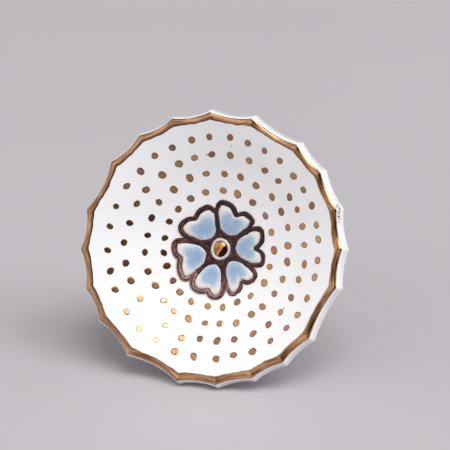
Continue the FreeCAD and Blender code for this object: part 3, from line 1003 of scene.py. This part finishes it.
def make_petals():
    material = petal_material()
    for number in range(len(PETALS)):
        outline, middle = heart_outline(number)
        outline = smoothed(outline, 3)
        count = len(outline)
        points = [on_dish(middle.x, middle.y, 0.40)]
        fades = [0.0]
        for ring in range(1, PETAL_RINGS + 1):
            share = ring / PETAL_RINGS
            for edge in outline:
                p = middle.lerp(edge, share)
                points.append(on_dish(p.x, p.y, petal_lift(p, share)))
                fades.append(petal_fade(p, share, 61 + number))
        faces = fan_faces(0, 1, count) + turned_over(ring_faces(PETAL_RINGS, count, 1))
        add_piece(f"petal_field_{number + 1}", points, faces, material, "blue_enamel",
                  (f"petal_{number + 1}",), fade=fades)


STROKE_COLUMNS = 9
STROKE_SUNK = 0.02


def add_stroke(points, faces, brush, pale, path, width, rise, paleness, closed=True):
    """A raised brush stroke along a path on the dish, round above. width and paleness give those of
    the stroke at each point of the path."""
    count = len(path)
    first = len(points)
    travelled = 0.0
    for i, at in enumerate(path):
        ahead = path[(i + 1) % count] if closed or i < count - 1 else at
        behind = path[i - 1] if closed or i > 0 else at
        along = (ahead - behind).normalized()
        side = Vector((along.y, -along.x))
        if i:
            travelled += (at - path[i - 1]).length
        for k in range(STROKE_COLUMNS):
            t = 2 * k / (STROKE_COLUMNS - 1) - 1
            p = at + side * t * width(at) / 2
            lift = rise * math.sqrt(max(0.0, 1 - t**4)) - STROKE_SUNK
            lift += 0.05 * wave(p.x, p.y, 0, 0.5, 31) * (1 - t**2)
            points.append(on_dish(p.x, p.y, lift))
            brush.append((travelled * 1.1, t * 1.6, first * 0.01))
            pale.append(paleness(at) * (1 - t**2) * 1.4 + 0.12 * blend_step(0.7, 1.0, abs(t)))
    last = count if closed else count - 1
    for i in range(last):
        a = first + i * STROKE_COLUMNS
        b = first + ((i + 1) % count) * STROKE_COLUMNS
        for k in range(STROKE_COLUMNS - 1):
            faces.append((a + k, b + k, b + k + 1, a + k + 1))


def offset_path(outline, distance):
    """The closed outline moved outwards and its kinks eased."""
    count = len(outline)
    moved = []
    for i, at in enumerate(outline):
        along = (outline[(i + 1) % count] - outline[i - 1]).normalized()
        moved.append(at + Vector((along.y, -along.x)) * distance)
    return smoothed(moved, 4)


def facing(at, degrees):
    """1 for a point that lies this way from the middle of the flower, and 0 for one opposite."""
    return 0.5 + 0.5 * math.cos(math.atan2(at.y, at.x) - math.radians(degrees))


def line_weight(at):
    """Width of the dark line: heaviest round the outer lobes at the top."""
    outer = blend_step(6.0, 8.6, at.length)
    unevenness = 0.24 * wave(at.x, at.y, 0, 1.4, 37) + 0.20 * wave(at.x, at.y, 0, 0.45, 47)
    return 0.68 + outer * (0.10 + 0.32 * facing(at, 110)) + unevenness


# Petals whose lobes the brush went round a second time, outside the first line and finer
TWICE_DRAWN = (3, 4)
SECOND_LINE_START = 6.6
LINE_OFFSET = 0.36
SECOND_LINE_OFFSET = 0.86
LINE_RISE = 0.34
SECOND_LINE_RISE = 0.30


def second_line_weight(at):
    """Width of the second line."""
    return 0.24 + 0.12 * wave(at.x, at.y, 0, 0.9, 43)


def line_highlight(at):
    """Painted highlight on the line, a lighter brown: most at the lower left, where the glare falls."""
    return 0.55 * facing(at, 245) ** 2 * blend_step(4.0, 8.0, at.length)


CENTRE_LINE_RADIUS = 2.2
GROUND_START = 1.7
GROUND_END = 6.4
GROUND_RISE = 0.17


def make_flower_line():
    """The raised dark enamel: a line round each petal and the centre, and the ground between them."""
    laid = points, faces, brush, pale = [], [], [], []
    for number in range(len(PETALS)):
        outline, _ = heart_outline(number)
        add_stroke(*laid, offset_path(outline, LINE_OFFSET), line_weight, LINE_RISE, line_highlight)
        if number in TWICE_DRAWN:
            outside = offset_path(outline, SECOND_LINE_OFFSET)
            outside = [at for at in outside if at.length > SECOND_LINE_START]
            add_stroke(*laid, outside, second_line_weight, SECOND_LINE_RISE, line_highlight, closed=False)
    centre = [flat(CENTRE_LINE_RADIUS, 4 * i) for i in range(90)]
    add_stroke(*laid, centre, lambda at: 0.75, LINE_RISE, lambda at: 0.1)
    add_ground(*laid)
    add_piece("flower_line", points, faces, dark_line_material(), "dark_enamel", ("flower_outline",),
              brush=brush, pale=pale)


def add_ground(points, faces, brush, pale):
    """The enamel between the petals, from the centre ring out to where the strokes meet."""
    columns, rows = 120, 14
    first = len(points)
    for row in range(rows):
        radius = GROUND_START + (GROUND_END - GROUND_START) * row / (rows - 1)
        for column in range(columns):
            turn = 2 * math.pi * column / columns
            x, y = way(radius, turn)
            lift = GROUND_RISE + 0.05 * wave(x, y, 0, 0.6, 41)
            if row == rows - 1:
                lift = -STROKE_SUNK
            points.append(on_dish(x, y, lift))
            brush.append((radius * 1.2, turn * 4, 5.0))
            pale.append(0.25)
    faces += turned_over(ring_faces(rows, columns, first))


def oval(radius, degrees):
    """The radius drawn out a little up and down the face."""
    swell = 1 + 0.05 * math.cos(math.radians(2 * (degrees - 90)))
    swell += 0.02 * math.cos(math.radians(3 * degrees))
    return radius * swell


def make_centre_ring():
    ring = [
        (1.42, 0.05), (1.42, 0.36), (1.50, 0.48), (1.66, 0.54), (1.84, 0.48), (2.00, 0.34), (2.10, 0.05),
    ]
    profile = list(reversed(rounded(ring, 0.1, 3)))

    def at(row, degrees):
        radius, height = profile[row]
        return oval(radius, degrees), height

    add_ring("centre_enamel_ring", len(profile), 96, at, white_enamel_material(), "white_enamel",
             ("centre_ring",))


BEAD_RADIUS = 1.55
BEAD_BASE = 0.05
BEAD_FOOT = 0.02
BEAD_HEIGHT = 0.62
BEAD_DENT = 0.12
# The side towards which the bead's gold is painted darker as shade, from the middle of the flower
BEAD_SHADE_WAY = math.radians(-28)


def make_bead():
    points, shades, columns, rows = [], [], 72, 14
    for row in range(1, rows + 1):
        share = row / rows
        radius = BEAD_RADIUS * math.sin(share * math.pi / 2)
        height = BEAD_BASE + BEAD_HEIGHT * math.cos(share * math.pi / 2)
        for column in range(columns):
            degrees = column * 360 / columns
            turn = math.radians(degrees)
            dent = BEAD_DENT * wave(*way(radius, turn), 0, 0.9, 51)
            points.append(polar(radius, degrees, height + dent * (1 - share)))
            # Painted shade, strongest on the side the bead's shade way points to
            shades.append(blend_step(-0.1, 0.9, radius * math.cos(turn - BEAD_SHADE_WAY)))
    crown = BEAD_BASE + BEAD_HEIGHT + BEAD_DENT * wave(0, 0, 0, 0.9, 51)
    faces = capped(points, rows, columns, crown, BEAD_FOOT)
    add_piece("centre_gilt_bead", points, faces, bead_material(), "gilding", ("centre_bead",),
              shade=shades + [0.0, 0.0])


# Metal


TURNING_FINENESS = 9


def turning(piece):
    """Give a turned piece the coordinates of its turning marks: radius and height, not angle."""
    marks = []
    for vertex in piece.data.vertices:
        offset = vertex.co - MIDDLE
        height = offset.dot(FACE)
        radius = (offset - FACE * height).length
        marks.append((radius / MM * TURNING_FINENESS, height / MM * TURNING_FINENESS, 0.0))
    attribute(piece, "turning", marks)


def make_collar(brass):
    """A brass cup with a low wall round the end of the neck."""
    seat = -NECK_END
    lip = seat + COLLAR_CUP_DEPTH
    profile = [
        (COLLAR_BORE, COLLAR_BACK), (COLLAR_RADIUS, COLLAR_BACK), (COLLAR_RADIUS, lip),
        (COLLAR_CUP_RADIUS, lip), (COLLAR_CUP_RADIUS, seat), (COLLAR_BORE, seat),
    ]
    turning(lathe("brass_collar", rounded(profile, 0.25), 160, brass, "brass", ("base_collar",)))


def thread_radius(height, degrees):
    """Radius of the M4 thread at this height: crests and roots wind down the stud."""
    phase = (height / THREAD_PITCH - degrees / 360) % 1.0
    flank = abs(2 * phase - 1)
    root = blend_step(0.12, 0.88, flank)
    return STUD_RADIUS - THREAD_DEPTH * root


def stud_radius(height, degrees):
    """Radius of the stud here, with its chamfered tip and its snap-off notch."""
    radius = min(thread_radius(height, degrees), STUD_TIP_RADIUS + height + STUD_END)
    if NOTCH_START < -height < NOTCH_END:
        radius = min(radius, NOTCH_RADIUS + 0.15 * abs(wave(height, 0, 0, 0.2)))
    return radius


def make_stud(steel):
    columns = 40
    top, tip = -(NECK_END - STUD_SUNK), -STUD_END
    rows = int((top - tip) / (THREAD_PITCH / ROWS_TO_THREAD)) + 1

    def at(row, degrees):
        height = top - row * (top - tip) / (rows - 1)
        return stud_radius(height, degrees), height

    points = grid(rows, columns, at)
    faces = capped(points, rows, columns, top, tip)
    turning(add_piece("stud_thread", points, faces, steel, "steel", ("threaded_stud",)))


def make_washer(steel):
    top = COLLAR_BACK - PANEL_GAP
    bottom = top - WASHER_THICKNESS
    profile = [(WASHER_BORE, bottom), (WASHER_RADIUS, bottom), (WASHER_RADIUS, top), (WASHER_BORE, top)]
    turning(lathe("washer_disc", rounded(profile, 0.14), 120, steel, "steel", ("flat_washer",),
                  body="washer"))


def nut_section(degrees, top, bottom):
    """Radius and height round the nut's section at this angle, with its corners chamfered."""
    side = NUT_FLAT_RADIUS / math.cos(math.radians(degrees % 60 - 30))
    drop = max(0.0, side - NUT_CHAMFER_RADIUS) * NUT_CHAMFER_SLOPE + 0.06
    inner, eased = side - 0.08, drop - 0.05
    return [
        (NUT_BORE_MOUTH, bottom), (NUT_FACE_RADIUS, bottom), (inner, bottom + eased), (side, bottom + drop),
        (side, top - drop), (inner, top - eased), (NUT_FACE_RADIUS, top), (NUT_BORE_MOUTH, top),
        (NUT_BORE, top - NUT_BORE_CHAMFER), (NUT_BORE, bottom + NUT_BORE_CHAMFER),
    ]


def make_nut(steel):
    top = COLLAR_BACK - PANEL_GAP - WASHER_THICKNESS
    bottom = top - NUT_HEIGHT
    rows = len(nut_section(0, top, bottom))
    turning(add_ring("nut_hexagon", rows, 144, lambda row, degrees: nut_section(degrees, top, bottom)[row],
                     steel, "steel", ("hex_nut",), body="nut", smooth=False))


# Room


FLOOR_REACH = 1.6


def make_floor():
    mesh = bpy.data.meshes.new("floor")
    corners = [(-1, -1), (1, -1), (1, 1), (-1, 1)]
    mesh.from_pydata([(x * FLOOR_REACH, y * FLOOR_REACH, 0) for x, y in corners], [], [(0, 1, 2, 3)])
    floor = add_object("floor", mesh)
    n = Nodes("pale_floor")
    n.colour(n.ramp(n.noise(6, 2), [(0.3, (0.482, 0.460, 0.492)), (0.7, (0.500, 0.478, 0.510))]))
    n.set(Roughness=0.75, Specular_IOR_Level=0.25)
    mesh.materials.append(n.material)


def toward(azimuth, elevation):
    """Unit vector this way from the knob. Azimuth 0 is in front of it, at -Y, and 90 is at +X."""
    a, e = math.radians(azimuth), math.radians(elevation)
    return Vector((math.sin(a) * math.cos(e), -math.cos(a) * math.cos(e), math.sin(e)))


def world_glow(world, ray, direction, start, end, outside, inside):
    """Colour that eases from one to the other as the ray turns towards a direction."""
    nearness = world.add("ShaderNodeVectorMath", operation="DOT_PRODUCT")
    world.link(ray, nearness.inputs[0])
    nearness.inputs[1].default_value = direction
    return world.ramp(nearness.outputs["Value"], [(start, outside), (end, inside)], "EASE")


def add_looking(name, data, azimuth, elevation, distance, roll=0.0):
    """A light or camera that looks at the knob from this direction, and the matrix of its own axes."""
    back = toward(azimuth, elevation)
    level = (-back).to_track_quat("-Z", "Y").to_matrix()
    turned = level @ Matrix.Rotation(math.radians(roll), 3, "Z")
    made = add_object(name, data)
    made.location = MIDDLE + back * distance
    made.rotation_mode = "QUATERNION"
    made.rotation_quaternion = turned.to_quaternion()
    return made, turned


def make_world():
    """Dark surroundings with soft glows: a bright one at the front left, a dimmer one at the front right
    and one at the right side, and a dark gap between the two in front."""
    studio = bpy.data.worlds.new("studio")
    bpy.context.scene.world = studio
    studio.use_nodes = True
    world = Tree(studio.node_tree)
    black, white = (0.0, 0.0, 0.0), (1.0, 1.0, 1.0)
    ray = world.add("ShaderNodeTexCoord").outputs["Generated"]
    left = world_glow(world, ray, toward(-45, 25), 0.2, 0.95, (0.03, 0.03, 0.03), (1.02, 1.00, 0.98))
    right = world_glow(world, ray, toward(45, 25), 0.2, 0.95, black, (0.40, 0.39, 0.38))
    side = world_glow(world, ray, toward(108, 12), 0.55, 0.95, black, (0.85, 0.84, 0.83))
    gap = world_glow(world, ray, toward(21, 25), 0.83, 0.98, white, (0.05, 0.045, 0.04))
    glows = world.mix(1.0, world.mix(1.0, left, right, "ADD"), side, "ADD")
    world.fill(world.tree.nodes["Background"], Color=world.mix(1.0, glows, gap, "MULTIPLY"))


SOFTBOX_DISTANCE = 2.5
SOFTBOX_SIZE = 1.2


def add_softbox(name, azimuth, elevation, power):
    """A soft area light that looks at the knob from this direction."""
    data = bpy.data.lights.new(name, "AREA")
    data.shape = "RECTANGLE"
    data.size = data.size_y = SOFTBOX_SIZE
    data.energy = power
    add_looking(name, data, azimuth, elevation, SOFTBOX_DISTANCE)


VIEW_AZIMUTH = 18.5
VIEW_ELEVATION = 23.6
VIEW_ROLL = -2.4
VIEW_DISTANCE = 0.359
VIEW_LENS = 154
AIM_RIGHT = 0.00074
AIM_UP = 0.00452


def make_camera():
    """The camera, a little above the knob and to its right, tipped by a small roll."""
    data = bpy.data.cameras.new("camera")
    data.sensor_width = 36
    data.lens = VIEW_LENS
    data.clip_start = 0.01
    data.clip_end = 20
    camera, axes = add_looking("camera", data, VIEW_AZIMUTH, VIEW_ELEVATION, VIEW_DISTANCE, VIEW_ROLL)
    camera.location += axes.col[0] * AIM_RIGHT + axes.col[1] * AIM_UP
    bpy.context.scene.camera = camera


def main():
    make_porcelain()
    make_specks()
    make_gilt_band()
    make_chips()
    make_gilt_spots()
    make_petals()
    make_flower_line()
    make_centre_ring()
    make_bead()
    steel = turned_metal("zinc_plated_steel", (0.50, 0.50, 0.51), (0.66, 0.66, 0.68), 0.28, 0.42, 0.12)
    brass = turned_metal("turned_brass", (0.50, 0.34, 0.14), (0.74, 0.54, 0.26), 0.24, 0.38, 0.35)
    make_collar(brass)
    make_stud(steel)
    make_washer(steel)
    make_nut(steel)
    cement_material(frame["nodes"]["stud_cement"])
    make_floor()
    make_world()
    add_softbox("key_softbox", 36, 68, 25)
    add_softbox("right_softbox", 80, 50, 24)
    make_camera()
    bpy.context.scene.view_settings.view_transform = "Standard"


main()
